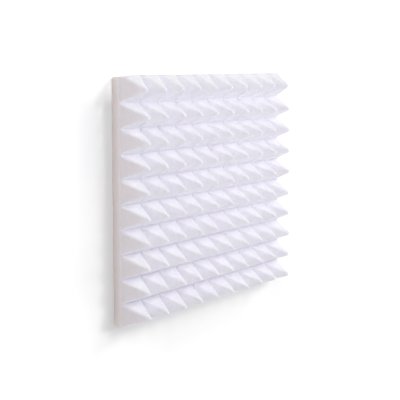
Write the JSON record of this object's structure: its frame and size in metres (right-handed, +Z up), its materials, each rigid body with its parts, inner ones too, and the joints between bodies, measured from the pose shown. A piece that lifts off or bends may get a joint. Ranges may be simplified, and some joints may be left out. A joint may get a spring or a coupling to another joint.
{
  "type": "acoustic foam panel",
  "caption": "Square white acoustic foam wall panel with a grid of pyramids on its face and adhesive mounting pads on its flat back.",
  "frame": {"origin": "on the wall, behind the centre of the panel: the middle of the centre pad's wall side", "axes": "+Z up the wall, +X to the right as the panel is looked at, +Y into the wall, so the pyramids point along -Y"},
  "size_m": [0.5, 0.081, 0.5],
  "materials": {
    "foam": "white open-cell polyurethane foam, knife-cut, matte with fine cells",
    "mounting_tape": "off-white double-sided foam tape, matte"
  },
  "bodies": {
    "root": {"foam_panel": "foam", "pad_top_left": "mounting_tape", "pad_top_centre": "mounting_tape", "pad_top_right": "mounting_tape", "pad_middle_left": "mounting_tape", "pad_middle_centre": "mounting_tape", "pad_middle_right": "mounting_tape", "pad_bottom_left": "mounting_tape", "pad_bottom_centre": "mounting_tape", "pad_bottom_right": "mounting_tape"}
  },
  "joints": []
}
